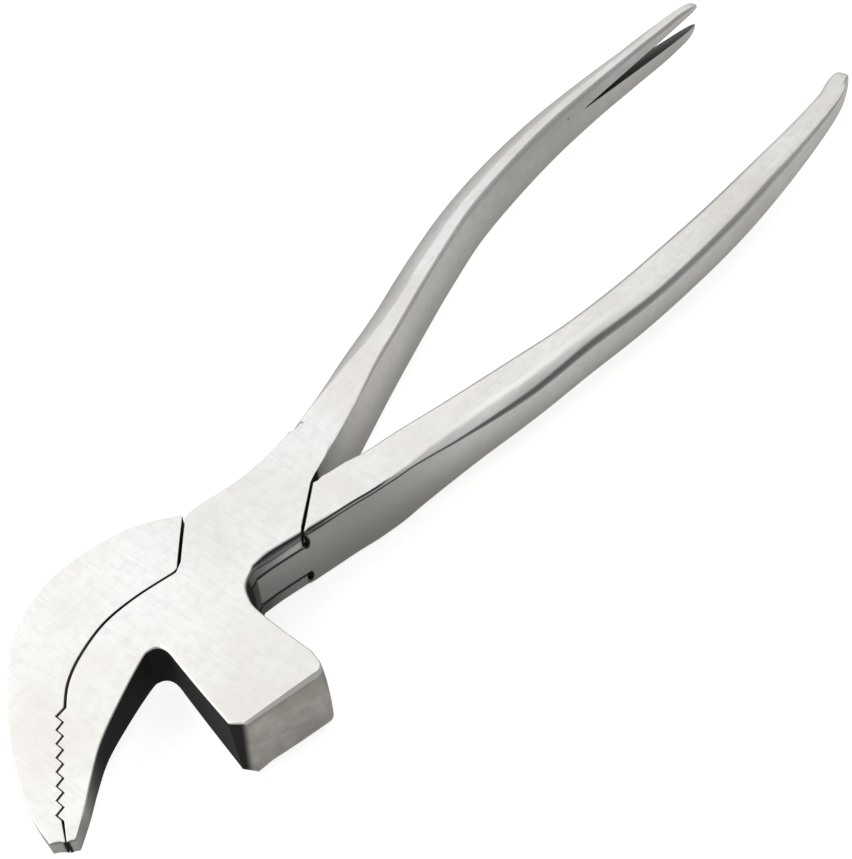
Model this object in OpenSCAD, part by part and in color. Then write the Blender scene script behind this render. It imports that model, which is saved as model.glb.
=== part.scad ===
// Lasting pliers with a box joint, a hammer and a forked tack lifter.
// Millimetres. The pliers lie on Z = 0 with the rivet's axis on Z.
// +X runs towards the handle ends, and the jaws and the hammer point to -X and -Y.

/* [Head] */
// Thickness of the head over the joint
head_t = 13.2; // [11:0.1:16]
// Distance ahead of the rivet where both faces begin to taper
taper_start = 5; // [3:0.5:7]
// Length over which the taper eases in
taper_ease = 8; // [4:0.5:10]
// Loss of thickness per millimetre once the taper has begun
taper_rate = 0.3; // [0.2:0.01:0.32]
// Easing of that loss towards the jaw tip
taper_curve = 0.0015; // [0.001:0.0001:0.002]

/* [Jaws] */
// Length of the smooth throat between the joint and the first tooth
throat_len = 26.9; // [22:0.1:33]
// Distance from one tooth to the next
tooth_pitch = 2.16; // [1.7:0.02:2.6]
// Height of a tooth
tooth_depth = 0.95; // [0.6:0.05:1.2]
// Number of teeth in a jaw
tooth_count = 7; // [5:1:8]
// Direction of the tooth row, seen from above
tooth_dir = -133.4; // [-138:0.2:-128]
// Gap that is left between the closed jaws
jaw_gap = 0.3; // [0.15:0.05:0.5]
// Length of the plain lip in front of the teeth
lip_len = 3.3; // [2.5:0.1:4.5]

/* [Hammer] */
// Distance from the rivet to the middle of the striking face
hammer_reach = 25.9; // [22:0.1:30]
// Distance from the rivet to the hammer's outer side
hammer_side = 10.2; // [9.4:0.1:11.5]
// Width of the hammer at its striking face
hammer_w = 16.2; // [14:0.1:18]
// Turn of the striking face, seen from above
face_turn = -13.5; // [-16:0.5:-10]
// Lean of the striking face
face_lean = 3.5; // [0:0.5:8]
// Bevel along the striking face's edges
face_bevel = 0.8; // [0.4:0.1:1.5]

/* [Box joint] */
// Thickness of the tongue that runs through the mortise
tongue_t = 6.6; // [5:0.1:8]
// Radius of the tongue's round middle
tongue_r = 8.2; // [7.9:0.1:8.5]
// Play between the tongue and each cheek
cheek_play = 0.05; // [0.02:0.01:0.1]
// Play round the tongue inside the mortise
mortise_play = 0.3; // [0.15:0.05:0.4]
// Height of the step that stops the tongue when the pliers are open
stop_step = 0.6; // [0.4:0.1:1]
// Angle that the pliers open by
open_angle = 30; // [20:1:34]
// Gap between the cheeks and the handle's shoulder
shoulder_gap = 0.4; // [0.3:0.05:0.8]

/* [Rivet] */
// Diameter of the rivet
rivet_d = 7; // [5:0.1:9]
// Diameter of the rivet's countersunk heads
rivet_head_d = 8.6; // [6:0.1:11]
// Depth of the countersinks
rivet_head_h = 1; // [0.5:0.1:1.5]
// Radial play between the rivet and the tongue
rivet_play = 0.04; // [0.02:0.01:0.08]

/* [Handles] */
// Distance from the rivet to the forked handle's end
fork_handle_len = 154.6; // [125:0.1:186]
// Distance from the rivet to the plain handle's end
plain_handle_len = 155.2; // [125:0.1:186]
// Length of the fork's slot
fork_slot_len = 38.6; // [31:0.1:46]
// Opening of the fork at its mouth
fork_mouth = 3.4; // [2.6:0.1:4]
// Turn of the fork's slot about the handle, out of the plane of the pliers
fork_turn = 32; // [0:1:40]

/* [Hidden] */
$fn = 96;
steel = [0.72, 0.72, 0.71];
dark_steel = [0.62, 0.62, 0.61];
rivet_steel = [0.68, 0.69, 0.7];

mid = head_t / 2;
ring_sides = 28;
ring_steps = 3;
far = 60;
hammer_depth = 6;

// Unit vector at an angle
function unit(angle) = [cos(angle), sin(angle)];

// Curve through a list of points, with the given number of steps in each span
function blend(a, b, c, d, t) =
    0.5 * (2 * b + (c - a) * t + (2 * a - 5 * b + 4 * c - d) * t * t + (3 * b - a - 3 * c + d) * t * t * t);
function curve(pts, steps) = [
    for (i = [0 : len(pts) - 2], k = [0 : steps - 1])
        blend(pts[max(i - 1, 0)], pts[i], pts[i + 1], pts[min(i + 2, len(pts) - 1)], k / steps),
    pts[len(pts) - 1]
];
function reversed(pts) = [for (i = [len(pts) - 1 : -1 : 0]) pts[i]];
function moved(pts, by) = [for (p = pts) p + by];

// Seam between the jaws: the joint's corner, the smooth throat, the teeth and the lip
seam_corner = [-12.3, 2.4];
tooth_along = unit(tooth_dir);
tooth_across = unit(tooth_dir + 90);
throat_end = seam_corner + [-throat_len + 1.7, -2];
first_tooth = seam_corner + [-throat_len, -2];
throat = curve([
    seam_corner,
    seam_corner + [-0.24 * throat_len, 2.1],
    seam_corner + [-0.46 * throat_len, 3.0],
    seam_corner + [-0.68 * throat_len, 2.1],
    seam_corner + [-0.83 * throat_len, 0.4],
    throat_end
], 4);
teeth = [
    for (i = [0 : tooth_count], side = [0, 1])
        if (i < tooth_count || side == 0)
            first_tooth + (i + side / 2) * tooth_pitch * tooth_along + side * tooth_depth * tooth_across
];
lip_start = teeth[len(teeth) - 1] + [0, -1.2];
lip_end = lip_start + lip_len * unit(-128);
seam = concat(throat, teeth, [lip_start, lip_end]);

// Seam between the cheeks and the outer jaw, and between the cheeks and the handle's shoulder
front_seam = [[-4, 8.4], [-11.4, 2.4]];
rear_seam = [[3.6, -8.42], [4.3, -7.95], [9.4, -4.7], [12.4, -2.8]];
crotch = [13.8, -2.2];

// Right flank of the head, shared by the cheeks, the tongue and the plain handle
right_flank = [
    [-4.6, -6.75], [-1.5, -7.25], [2, -8.05], [4.2, -8.6], [5.5, -8.95], [7.4, -9.5], [13.1, -11], [16.7, -12.05],
    [21, -12.75]
];

// Left flank of the cheeks, from the forked handle back to the outer jaw
left_flank = curve([[21, 7.2], [13.3, 6.6], [8.6, 6.6], [4.5, 7.1], [0.9, 7.9], [-2.4, 8.5], front_seam[0]], 3);

// Back of the outer jaw, from the joint to the tip
jaw_span = seam_corner[0] - lip_end[0];
outer_tip = lip_end + [-1.6, 1.7];
jaw_back = curve([
    [-4.3, 9.2],
    [seam_corner[0] + 0.1, 14.7],
    [seam_corner[0] - 0.28 * jaw_span, 17.8],
    [seam_corner[0] - 0.54 * jaw_span, 15.6],
    [seam_corner[0] - 0.75 * jaw_span, 8.7],
    [seam_corner[0] - 0.9 * jaw_span, 0.9],
    outer_tip + [1.6, 6],
    outer_tip
], 5);

// Inner side of the inner jaw, from the tip to the notch beside the hammer
inner_tip = lip_end + [1, -0.9];
notch = [-22.9, -4.1];
jaw_belly = curve([
    inner_tip,
    inner_tip + [4, 2.4],
    inner_tip + [8, 5.1],
    [seam_corner[0] - 0.655 * jaw_span, -7.5],
    [seam_corner[0] - 0.49 * jaw_span, -5.1],
    notch + [-2.6, 0.8],
    notch + [-1, 0.8],
    notch
], 3);

// Hammer, from the notch round the striking face to the joint
face_mid = [-hammer_side - hammer_w / 2, -hammer_reach];
left_corner = [-hammer_side - hammer_w, -hammer_reach + 3.9];
right_corner = [-hammer_side - 0.4, -hammer_reach + 1.4];
hammer_wall = concat(
    curve([notch, notch + [0.3, -1.6], notch + [-0.4, -4.6], notch + [-1.7, -10], left_corner], 3),
    [left_corner + [0.46, -1] * (hammer_depth + 4)]
);
hammer_back = concat(
    [right_corner + [-0.48, -1] * (hammer_depth + 2)],
    curve([
        right_corner,
        [-hammer_side - 0.1, -17],
        [-hammer_side + 0.3, -12],
        [-hammer_side + 1, -9.8],
        [-hammer_side + 2.6, -7.8],
        right_flank[0]
    ], 4)
);

// Half the thickness of the head at a point
function eased(u) = u <= 0 ? 0 : u < taper_ease ? u * u / (2 * taper_ease) : u - taper_ease / 2;
function loss(u) = taper_rate * u - taper_curve * u * u;
function hammer_share(x, y) = x < notch[0] - 4.2 ? 1 : max(0, 1 - 0.044 * max(0, notch[1] - y));
function half_t(x, y) = mid - loss(eased(-taper_start - x)) * hammer_share(x, y) / 2;

// Solid between the tapered faces of the head
module tapered_block() {
    xs = [-66, -58, -50, -43, -37, -32, -27.3, -26.9, -23, -19, -15, -11, -8, -taper_start, 30];
    ys = [-36, -23, -17, -11, notch[1], 30];
    nx = len(xs);
    ny = len(ys);
    top = [for (y = ys, x = xs) [x, y, mid + half_t(x, y)]];
    bottom = [for (y = ys, x = xs) [x, y, mid - half_t(x, y)]];
    n = nx * ny;
    cells = [
        for (j = [0 : ny - 2], i = [0 : nx - 2])
            each let (a = j * nx + i, b = a + 1, c = a + nx + 1, d = a + nx)
                [[a, c, b], [a, d, c], [a + n, b + n, c + n], [a + n, c + n, d + n]]
    ];
    ends = [
        for (j = [0 : ny - 2], i = [0, nx - 1])
            each let (a = j * nx + i, d = a + nx)
                i == 0 ? [[a, a + n, d + n], [a, d + n, d]] : [[a, d + n, a + n], [a, d, d + n]]
    ];
    sides = [
        for (i = [0 : nx - 2], j = [0, ny - 1])
            each let (a = j * nx + i, b = a + 1)
                j == 0 ? [[a, b + n, a + n], [a, b, b + n]] : [[a, a + n, b + n], [a, b + n, b]]
    ];
    polyhedron(points = concat(top, bottom), faces = concat(cells, ends, sides), convexity = 4);
}

// Plate of a given outline with the head's tapered faces
module head_plate(outline) {
    intersection() {
        linear_extrude(height = head_t) polygon(outline);
        tapered_block();
    }
}

// Section of a handle: a rounded box that turns into an oval, from half width, half height and squareness
function power(v, e) = sign(v) * pow(abs(v), e);
function section(at, dir, a, b, square) = [
    for (k = [0 : ring_sides - 1])
        let (t = 360 * (k + 0.5) / ring_sides, across = a * power(cos(t), 2 / square))
            [at[0] - dir[1] * across, at[1] + dir[0] * across, mid + b * power(sin(t), 2 / square)]
];

// Handle along stations of x, y, half width, half height and squareness
module handle(stations) {
    path = curve(stations, ring_steps);
    last = len(path) - 1;
    rings = [
        for (i = [0 : last])
            let (
                step = path[min(i + 1, last)] - path[max(i - 1, 0)],
                dir = [step[0], step[1]] / norm([step[0], step[1]])
            )
                section(path[i], dir, path[i][2], path[i][3], path[i][4])
    ];
    walls = [
        for (i = [0 : last - 1], k = [0 : ring_sides - 1])
            each let (a = i * ring_sides + k, b = i * ring_sides + (k + 1) % ring_sides)
                [[a, b + ring_sides, b], [a, a + ring_sides, b + ring_sides]]
    ];
    start = [for (k = [0 : ring_sides - 1]) k];
    finish = [for (k = [ring_sides - 1 : -1 : 0]) last * ring_sides + k];
    polyhedron(points = [for (r = rings) each r], faces = concat([start, finish], walls), convexity = 6);
}

// Stations of the two handles, given as shares of their lengths
function stretched(rows, length) = [for (r = rows) [r[0] * length, r[1], r[2], r[3], r[4]]];
fork_handle_rows = stretched([
    [0.090, 1.75, 3.55, mid - 0.05, 14],
    [0.135, 3.45, 3.60, mid - 0.05, 12],
    [0.180, 5.30, 3.40, mid - 0.03, 9],
    [0.250, 8.55, 3.60, 6.45, 4.2],
    [0.330, 12.10, 3.85, 5.90, 2.9],
    [0.410, 15.55, 4.10, 5.20, 2.5],
    [0.500, 18.80, 4.20, 4.75, 2.3],
    [0.590, 20.60, 4.25, 4.50, 2.2],
    [0.680, 21.35, 4.05, 4.40, 2.2],
    [0.770, 21.00, 3.60, 4.45, 2.2],
    [0.860, 20.10, 3.05, 4.55, 2.2],
    [0.930, 19.40, 2.35, 4.60, 2.2],
    [0.980, 18.85, 1.30, 4.50, 2.4],
    [1.000, 18.60, 0.60, 4.40, 3.0]
], fork_handle_len);
plain_handle_rows = stretched([
    [0.090, -7.20, 3.90, mid - 0.05, 14],
    [0.138, -8.95, 3.75, mid - 0.20, 10],
    [0.180, -9.90, 3.75, 6.10, 7],
    [0.250, -11.75, 3.90, 5.45, 4.2],
    [0.330, -13.95, 4.25, 5.00, 2.9],
    [0.410, -15.90, 4.20, 4.80, 2.5],
    [0.500, -17.90, 4.25, 4.65, 2.3],
    [0.590, -19.00, 4.25, 4.55, 2.2],
    [0.680, -19.60, 4.05, 4.40, 2.2],
    [0.770, -19.55, 3.65, 4.00, 2.2],
    [0.860, -19.00, 3.00, 3.50, 2.2],
    [0.930, -18.10, 2.45, 2.90, 2.2],
    [0.965, -16.95, 1.95, 2.30, 2.2],
    [0.988, -16.00, 1.20, 1.45, 2.2],
    [1.000, -15.40, 0.35, 0.45, 2.2]
], plain_handle_len);

// Flat sector about the rivet's axis
module sector(from, to, r) {
    polygon(concat([[0, 0]], [for (k = [0 : 24]) r * unit(from + (to - from) * k / 24)]));
}

// Round middle of the tongue, with a lobe whose end meets the step when the pliers are open.
// Play widens it, and extra turns the end of the lobe further round for the mortise.
lobe_start = -134;
lobe_end = 165;
module joint_disc(play, extra) {
    circle(r = tongue_r - stop_step + play);
    intersection() {
        circle(r = tongue_r + play);
        sector(lobe_start - extra, lobe_end, 2 * tongue_r);
    }
}

// Mortise through the cheeks' half, with room for the tongue's necks over the whole opening
module mortise() {
    height = tongue_t + 2 * cheek_play;
    translate([0, 0, mid - height / 2])
        linear_extrude(height = height) {
            joint_disc(mortise_play, open_angle + 1);
            polygon([[0, 0], seam_corner, [-14, 9], [-4, 14], [1, 10]]);
            polygon([[0, 0], crotch, [18, -9], [4, -16], [-4.4, -14], right_flank[0] + [0.1, -0.1]]);
        }
}

// Rivet with a countersunk head at each face, and the same shape as a hole
module rivet_shape() {
    r = rivet_d / 2;
    head_r = rivet_head_d / 2;
    rotate_extrude()
        polygon([
            [0, 0], [head_r, 0], [r, rivet_head_h], [r, head_t - rivet_head_h], [head_r, head_t], [0, head_t]
        ]);
}

// Everything beyond the leaning striking face, and the bevels at its upper and lower edges
module beyond_face() {
    reach = 20;
    translate([face_mid[0], face_mid[1], mid])
        rotate([0, 0, face_turn])
            rotate([-face_lean, 0, 0]) {
                translate([-reach, -reach, -reach]) cube([2 * reach, reach, 2 * reach]);
                for (side = [0, 1])
                    mirror([0, 0, side])
                        translate([0, 0, mid])
                            rotate([45, 0, 0])
                                translate([-reach, -reach, -face_bevel * sqrt(0.5)])
                                    cube([2 * reach, 2 * reach, reach]);
            }
}

// Slot of the tack lifter: a wedge along the handle's end, turned about the handle
module fork_slot() {
    slope = fork_mouth / 2 / fork_slot_len;
    translate([fork_handle_len - fork_slot_len, 21.2, mid])
        rotate([0, 0, -3.6])
            rotate([90 - fork_turn, 0, 0])
                linear_extrude(height = far, center = true)
                    polygon([[0, 0], [far, -slope * far], [far, slope * far]]);
}

// Half with the cheeks: inner jaw, hammer, mortise and forked handle
module hammer_half() {
    outline = concat(
        [front_seam[0], front_seam[1]], seam, jaw_belly, hammer_wall, hammer_back,
        [for (p = right_flank) if (p[0] > -4.5 && p[0] < 3) p],
        rear_seam, [crotch, [15.2, -2.3], [21, -0.35]], left_flank
    );
    color(steel)
        difference() {
            union() {
                head_plate(outline);
                handle(fork_handle_rows);
            }
            mortise();
            rivet_shape();
            beyond_face();
            fork_slot();
        }
}

// Half with the tongue: outer jaw, tongue and plain handle
module jaw_half() {
    lift = jaw_gap * unit(115);
    jaw_outline = concat(
        [jaw_back[0], front_seam[0] + [-0.3, 0.35], front_seam[1] + [-0.3, 0.35]],
        moved(seam, lift), reversed(jaw_back)
    );
    apart = shoulder_gap * unit(-57);
    shoulder = concat([[5.1, -8.83]], [for (p = rear_seam) if (p[0] > 4) p + apart]);
    root_outline = concat(
        [for (p = right_flank) if (p[0] > 5.2) p],
        [[21, -5.3], [16, -3.7], crotch + [0.4, -0.85], crotch + [-0.6, -0.95]], reversed(shoulder)
    );
    color(dark_steel)
        difference() {
            union() {
                head_plate(jaw_outline);
                head_plate(root_outline);
                handle(plain_handle_rows);
                translate([0, 0, mid - tongue_t / 2])
                    linear_extrude(height = tongue_t)
                        intersection() {
                            union() {
                                joint_disc(0, 0);
                                polygon([[0, 0], seam_corner + lift + [0.1, 0], [-14, 5], [-9, 11], jaw_back[0]]);
                                polygon([[0, 0], crotch + [-0.4, -0.9], [17, -6], [12, -14], right_flank[0]]);
                            }
                            polygon(concat(right_flank, [[21, 7], [4.5, 7.1], [0, 8], [-4, 12], [-16, 12], [-16, -6]]));
                        }
            }
            translate([0, 0, -1]) cylinder(r = rivet_d / 2 + rivet_play, h = head_t + 2);
        }
}

module pivot_rivet() {
    color(rivet_steel) rivet_shape();
}

hammer_half();
jaw_half();
pivot_rivet();
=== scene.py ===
import math
import bmesh
import bpy
import numpy as np
from mathutils import Matrix, Vector
from mathutils.geometry import delaunay_2d_cdt


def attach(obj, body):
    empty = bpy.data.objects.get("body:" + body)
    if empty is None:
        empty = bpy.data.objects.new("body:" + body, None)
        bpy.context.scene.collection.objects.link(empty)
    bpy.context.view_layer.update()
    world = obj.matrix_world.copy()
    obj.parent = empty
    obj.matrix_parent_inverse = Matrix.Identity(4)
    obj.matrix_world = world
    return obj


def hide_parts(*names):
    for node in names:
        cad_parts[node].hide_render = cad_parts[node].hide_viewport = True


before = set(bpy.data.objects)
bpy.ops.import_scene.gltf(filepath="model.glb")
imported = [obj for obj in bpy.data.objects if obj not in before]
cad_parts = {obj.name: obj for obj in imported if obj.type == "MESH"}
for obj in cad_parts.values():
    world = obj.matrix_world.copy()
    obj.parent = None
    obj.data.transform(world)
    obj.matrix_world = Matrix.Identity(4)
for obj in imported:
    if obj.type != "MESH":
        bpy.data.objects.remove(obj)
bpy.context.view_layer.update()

mm = 0.001

# Sizes in millimetres, as in the CAD source but for a wider seam and more play in the joint, so that they show
headSizes = {"thickness": 13.2, "taperStart": 5, "taperEase": 8, "taperRate": 0.3, "taperCurve": 0.0015}
jawSizes = {"throat": 26.9, "pitch": 2.16, "depth": 0.95, "count": 7, "direction": -133.4, "seam": 0.4, "lip": 3.3}
hammerSizes = {
    "reach": 25.9, "side": 10.2, "width": 16.2, "turn": -13.5, "lean": 4.5, "blend": 9, "corner": 1.3,
    "crown": 0.4, "crownSpan": (8.2, 6.4), "bulge": 0.6,
    "flat": ((-26.4, -21.5, 13.2), (-24.4, -24.6, 13.2), (-25.25, -24.5, 0.5)),  # points of the ground corner
}
jointSizes = {
    "tongue": 6.6, "radius": 8.2, "joint": 0.17, "mortisePlay": 0.3, "step": 0.6, "open": 30,
    "shoulderGap": 0.4, "rivet": 7, "rivetHead": 8.6, "sink": 1, "rivetPlay": 0.04, "lobe": (-134, 165),
}
forkSizes = {"length": 154.6, "slot": 38.6, "mouth": 3.4, "turn": 32, "sideways": -3.6, "y": 21.2}
plainSizes = {"length": 155.2}

middle = headSizes["thickness"] / 2
far = 60  # beyond every cut


def unit(angle):
    return np.array([math.cos(math.radians(angle)), math.sin(math.radians(angle))])


def curve(points, steps):
    # the CAD source's curve through its points
    pts = np.array(points, float)
    last = len(pts) - 1
    out = []
    for i in range(last):
        a, b, c, d = pts[max(i - 1, 0)], pts[i], pts[i + 1], pts[min(i + 2, last)]
        for k in range(steps):
            t = k / steps
            bend, twist = 2 * a - 5 * b + 4 * c - d, 3 * b - a - 3 * c + d
            out.append(0.5 * (2 * b + (c - a) * t + bend * t * t + twist * t**3))
    return np.array(out + [pts[last]])


def halfThickness(x, y):
    # half the head's thickness at a point
    x, y = np.asarray(x, float), np.asarray(y, float)
    u = -headSizes["taperStart"] - x
    ease = headSizes["taperEase"]
    run = np.where(u <= 0, 0, np.where(u < ease, u * u / (2 * ease), u - ease / 2))
    loss = headSizes["taperRate"] * run - headSizes["taperCurve"] * run**2
    share = np.where(x < notch[0] - 4.2, 1, np.maximum(0, 1 - 0.044 * np.maximum(0, notch[1] - y)))
    return middle - loss * share / 2


# Outlines seen from above
seamCorner = np.array([-12.3, 2.4])
throatLength = jawSizes["throat"]
toothAlong, toothAcross = unit(jawSizes["direction"]), unit(jawSizes["direction"] + 90)
firstTooth = seamCorner + [-throatLength, -2]
throat = curve([seamCorner + p for p in np.array([
    [0, 0], [-0.24 * throatLength, 2.1], [-0.46 * throatLength, 3.0], [-0.68 * throatLength, 2.1],
    [-0.83 * throatLength, 0.4], [-throatLength + 1.7, -2],
])], 5)
toothEnd = firstTooth + jawSizes["count"] * jawSizes["pitch"] * toothAlong
lipStart = toothEnd + [0, -1.2]
lipEnd = lipStart + jawSizes["lip"] * unit(-128)
frontSeam = np.array([[-4, 8.4], [-11.4, 2.4]])
rearSeam = np.array([[3.6, -8.42], [4.3, -7.95], [9.4, -4.7], [12.4, -2.8]])
crotch = np.array([13.8, -2.2])
rightFlank = curve([
    [-4.6, -6.75], [-1.5, -7.25], [2, -8.05], [4.2, -8.6], [5.5, -8.92], [7.4, -9.42], [13.1, -10.75],
    [16.7, -11.75], [21, -12.7],
], 3)
leftFlank = curve([[21, 7.2], [13.3, 6.6], [8.6, 6.6], [4.5, 7.1], [0.9, 7.9], [-2.4, 8.5], frontSeam[0]], 5)
jawSpan = seamCorner[0] - lipEnd[0]


def alongJaw(share, y):
    # a point by its share of the way from the seam's corner to the jaw's tip
    return [seamCorner[0] - share * jawSpan, y]


outerTip = lipEnd + [-1.6, 1.7]
jawBack = curve([
    [-4.3, 9.2], [seamCorner[0] + 0.1, 14.7], alongJaw(0.28, 17.8), alongJaw(0.54, 15.6), alongJaw(0.75, 8.7),
    alongJaw(0.9, 0.9), outerTip + [1.6, 6], outerTip,
], 9)
innerTip = lipEnd + [1, -0.9]
notch = np.array([-22.9, -4.1])
side, reach = hammerSizes["side"], hammerSizes["reach"]
faceMiddle = np.array([-side - hammerSizes["width"] / 2, -reach])
leftCorner = np.array([-side - hammerSizes["width"], -reach + 3.9])
notchWall = curve([  # one curve from the jaw's tip round the notch to the hammer's corner
    innerTip, innerTip + [4, 2.4], innerTip + [8, 5.1], alongJaw(0.655, -7.5), alongJaw(0.49, -5.1),
    notch + [-2.6, 0.8], notch + [-1, 0.8], notch, notch + [0.3, -1.6], notch + [-0.4, -4.6], notch + [-1.7, -10],
    leftCorner,
], 6)
rightCorner = np.array([-side - 0.4, -reach + 1.4])
faceAlong, faceOut = unit(hammerSizes["turn"]), unit(hammerSizes["turn"] - 90)


def meetFace(point, direction):
    # where a line from a corner of the hammer meets the striking face
    direction = np.array(direction, float)
    return point + direction * ((faceMiddle - point) @ faceOut) / (direction @ faceOut)


faceLeft, faceRight = meetFace(leftCorner, [0.46, -1]), meetFace(rightCorner, [-0.48, -1])
hammerBack = curve([
    rightCorner, [-side - 0.1, -17], [-side + 0.3, -12], [-side + 1, -9.8], [-side + 2.6, -7.8], rightFlank[0],
], 5)

# Handle stations: share of the length, y, half width, half height
forkRows = np.array([
    [0.090, 1.75, 3.55, 6.60], [0.135, 3.45, 3.60, 6.59], [0.180, 5.30, 3.40, 6.57], [0.250, 8.55, 3.60, 6.45],
    [0.330, 12.10, 3.85, 5.90], [0.410, 15.55, 4.10, 5.20], [0.500, 18.80, 4.20, 4.75], [0.590, 20.60, 4.25, 4.50],
    [0.680, 21.35, 4.05, 4.40], [0.770, 21.00, 3.60, 4.45], [0.860, 20.10, 3.05, 4.55], [0.930, 19.40, 2.35, 4.55],
    [0.970, 18.95, 1.60, 4.30], [0.988, 18.75, 1.10, 3.85], [1.000, 18.60, 0.50, 3.20],
])
plainRows = np.array([
    [0.090, -7.20, 3.90, 6.60], [0.138, -8.95, 3.75, 6.45], [0.180, -9.92, 3.77, 6.02], [0.250, -11.95, 3.90, 5.20],
    [0.330, -14.42, 3.98, 4.85], [0.410, -16.55, 3.55, 4.80], [0.500, -18.42, 3.73, 4.65], [0.590, -19.45, 3.80, 4.55],
    [0.680, -19.98, 3.67, 4.40], [0.770, -19.80, 3.40, 4.00], [0.860, -19.20, 2.80, 3.50], [0.930, -18.22, 2.33, 2.90],
    [0.965, -16.95, 2.10, 2.35], [0.988, -16.10, 1.50, 1.65], [1.000, -15.60, 0.50, 0.55],
])

# Edges by distance along a handle: x, how far in, how far down, radius on the wall, radius on the top, and where
# the wall leans in, how far at its top and the height at which it is widest
forkEdges = {
    "right": [
        [21, .5, .2, .1, .12, 0, 0], [28, .55, .22, .12, .15, .05, -1], [34, .9, .35, .16, .3, .35, -3],
        [38.6, 1.15, .45, .2, .4, .6, -3.6], [45, 1.3, .5, .25, .6, .65, -3.3], [51, 1.6, .6, .3, .7, .9, -3],
        [63.4, 2.4, .55, .4, 1.1, 1.65, -2.4], [77, 2.9, .6, .4, .9, 2.1, -2], [105, 3.1, .6, .4, .7, 2.3, -1.9],
        [133, 2.3, .5, .3, .5, 1.7, -1.8], [148, 1.2, .55, .3, .4, .7, -1.2], [153, .3, .5, .2, .12, .05, -.2],
        [154.6, .12, .5, .1, .05, 0, 0],
    ],
    "left": [
        [21, .3, .3, .15, .15], [25, .4, .35, .15, .15], [28, .8, .55, .2, .25], [34, 1.8, 1.3, .35, .4],
        [38.6, 2.8, 1.9, .45, .6], [45, 3.7, 2.7, .7, .8], [51, 4.1, 3.1, .9, .9], [63.4, 4.4, 3.0, 1.0, .8],
        [77, 4.5, 3.0, 1.1, .6], [105, 4.2, 2.9, 1.2, .5], [133, 3.0, 2.5, .9, .4], [148, 1.1, 1.6, .5, .4],
        [153, .3, .9, .25, .12], [154.6, .12, .5, .1, .05],
    ],
    "under": [
        [21, .3, .3, .15, .15], [28, .6, .8, .4, .4], [38.6, 1.2, 1.7, .7, .7], [51, 1.7, 2.3, 1.0, 1.0],
        [63, 2.0, 2.4, 1.1, 1.1], [77, 2.2, 2.4, 1.1, 1.2], [105, 2.2, 2.4, 1.1, 1.2], [133, 1.7, 2.2, .8, .8],
        [148, .9, 1.4, .4, .4], [153, .3, .9, .25, .12], [154.6, .12, .5, .1, .05],
    ],
    # crease and band: painted dark lines along the handle; ridge: a painted highlight
    "crease": [[21, .5], [32, .35], [40, .2], [50, .1], [62, 0]],
    "ridge": [[30, 0], [45, .1], [60, .15], [120, .2], [150, 0]],
    "band": [[24, .25], [34, .5], [120, .45], [145, .3], [154, 0]],
}
plainEdges = {
    "right": [
        [5, .45, .45, .2, .2, 0, 0], [20, .45, .42, .2, .2, 0, 0], [25, .9, .45, .22, .4, 0, 0],
        [33, 1.9, .95, .3, .7, 0, 0], [36, 2.2, 1.05, .35, .8, .05, 0], [42, 2.8, 1.25, .6, .9, .1, -.3],
        [50, 2.9, 1.35, .8, .9, .25, -.8], [66, 3.1, 1.1, .95, .9, .6, -.8], [82, 3.2, .8, 1.0, .9, .4, -.8],
        [100, 3.2, .7, 1.0, .9, .75, -.8], [118, 3.1, .6, 1.0, .8, .9, -.8], [138, 2.4, .45, .8, .6, .25, -.6],
        [148, 1.7, .35, .25, .4, .2, -.3], [152, .9, .35, .2, .2, .3, -.1], [155.2, .15, .2, .1, .05, 0, 0],
    ],
    "left": [
        [13, .25, .25, .12, .12], [21, .4, .4, .2, .2], [33, .6, .6, .3, .3], [50, .9, .8, .4, .5],
        [80, 1.1, .9, .5, .6], [100, 1.1, .9, .5, .6], [127, 1.0, .8, .5, .5], [144, .8, .7, .4, .4],
        [151, .6, .6, .3, .3], [155.2, .15, .2, .1, .05],
    ],
    "under": [
        [5, .6, .6, .25, .25], [12, .6, .75, .25, .25], [19, .6, .9, .3, .3], [23, .6, .75, .35, .3],
        [28, .7, .8, .4, .4], [33, .8, 1.0, .5, .5], [39, 1.0, 1.2, .6, .7], [51, 1.5, 1.7, .9, 1.0],
        [63, 1.8, 1.9, 1.1, 1.1], [80, 2.1, 2.2, 1.2, 1.3], [100, 2.2, 2.4, 1.2, 1.2], [119, 2.3, 2.6, 1.1, 1.0],
        [127, 2.2, 2.5, 1.0, .9], [144, 1.6, 1.8, .7, .6], [151, .9, 1.0, .4, .3], [155.2, .15, .2, .1, .05],
    ],
    # crease and band: painted dark lines along the handle; ridge: a painted highlight where positive and a painted dark
    # line where negative
    "crease": [[5, .9], [34, .9], [60, .85], [82, .5], [100, .32], [118, .1], [138, 0]],
    "ridge": [[5, -.9], [14, -.8], [20, -.3], [24, 0], [34, .1], [44, .5], [70, .2], [90, 0]],
    "band": [[5, 0], [150, 0]],
}

# Edges of the head: how far in, how far down, radius on the wall, radius on the top
headEdges = {
    "seam": (.08, .08, .04, .04), "back": (.14, .14, .06, .06), "belly": (.2, .2, .1, .1), "tip": (.3, .35, .12, .12),
    "face": (.62, .45, .10, .10), "faceUnder": (1.1, 1.2, .7, .6), "sideUnder": (.7, .7, .35, .35),
    "flank": (.6, 1.3, .2, .3), "leftFlank": (.3, .3, .14, .14), "shoulder": (.42, .55, .2, .22),
}
# Painted dark lines along the flank, as crease, ridge and band strengths where a negative ridge is a dark line: on the
# cheek, at the seam, and on the plain handle's shoulder
flankLines = {"cheek": (.2, -.9, 0), "corner": (.6, -.9, 0), "shoulder": (.9, -.9, 0)}
leastStep = 0.03  # points closer than this are left out
leanPower = 1.25  # how a wall curves as it leans in
hardAngle = 26  # edges sharper than this stay hard
weldDistance, thinDistance = 2e-6, 1e-6
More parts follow.
